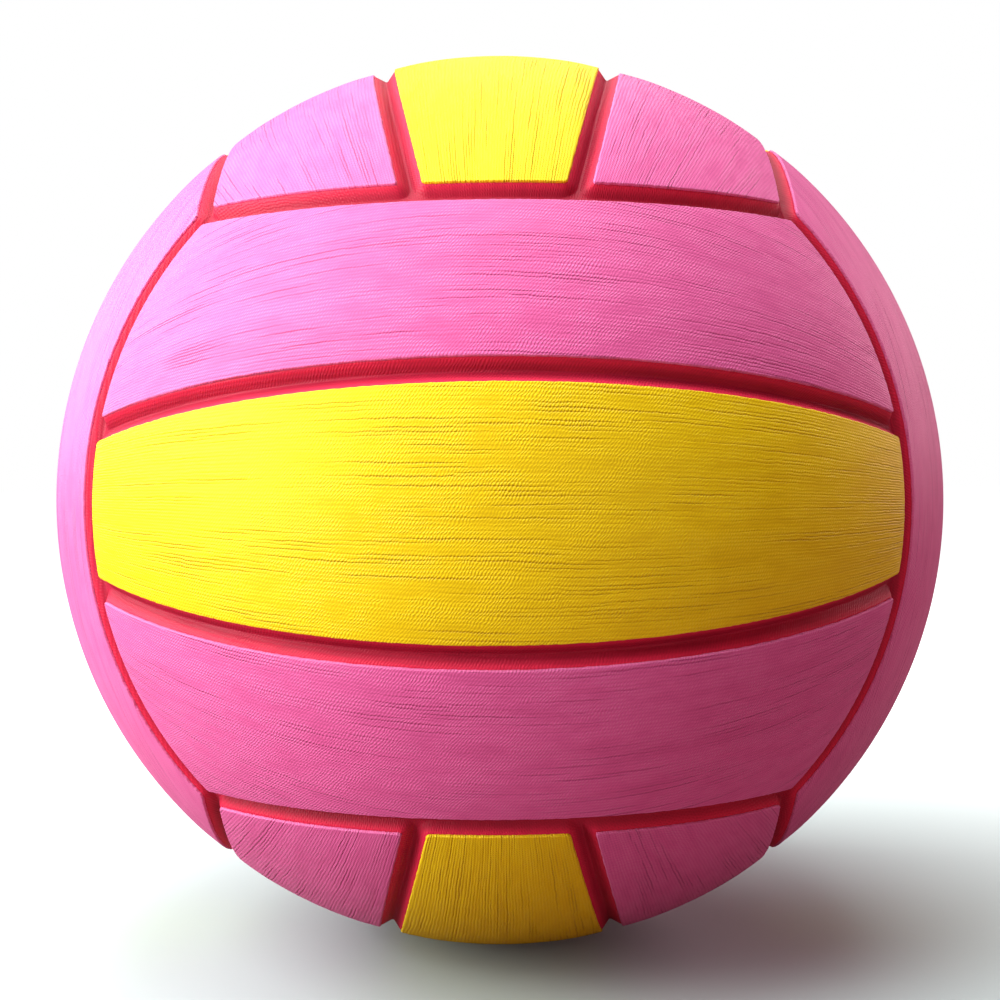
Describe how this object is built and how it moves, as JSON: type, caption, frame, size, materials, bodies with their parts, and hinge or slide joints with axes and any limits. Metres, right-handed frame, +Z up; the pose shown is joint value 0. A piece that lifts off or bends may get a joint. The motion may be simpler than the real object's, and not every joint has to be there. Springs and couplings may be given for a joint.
{
  "type": "water polo ball",
  "caption": "Round inflatable ball with grooved strip panels over a rubber cover, and a needle valve set flush in one panel.",
  "frame": {"origin": "centre of the ball", "axes": "+Z up as pictured, -Y towards the pictured face, +Y out of the valve, +X to the right"},
  "size_m": [0.21, 0.2099, 0.21],
  "materials": {
    "pink_rubber": "matt rubber with fine grip texture",
    "yellow_rubber": "matt rubber with fine grip texture",
    "red_rubber": "satin rubber",
    "nylon_thread": "matt wound thread set in latex",
    "butyl_rubber": "satin moulded rubber",
    "valve_rubber": "satin soft rubber"
  },
  "bodies": {
    "root": {"front_upper_panel": "pink_rubber", "front_centre_panel": "yellow_rubber", "front_lower_panel": "pink_rubber", "right_front_panel": "pink_rubber", "right_centre_panel": "yellow_rubber", "right_back_panel": "pink_rubber", "top_right_panel": "pink_rubber", "top_centre_panel": "yellow_rubber", "top_left_panel": "pink_rubber", "back_upper_panel": "pink_rubber", "back_centre_panel": "yellow_rubber", "back_lower_panel": "pink_rubber", "left_back_panel": "pink_rubber", "left_centre_panel": "yellow_rubber", "left_front_panel": "pink_rubber", "bottom_right_panel": "pink_rubber", "bottom_centre_panel": "yellow_rubber", "bottom_left_panel": "pink_rubber", "under_cover": "red_rubber", "thread_winding": "nylon_thread", "bladder": "butyl_rubber", "valve_seat": "butyl_rubber", "valve_plug": "valve_rubber"}
  },
  "joints": []
}
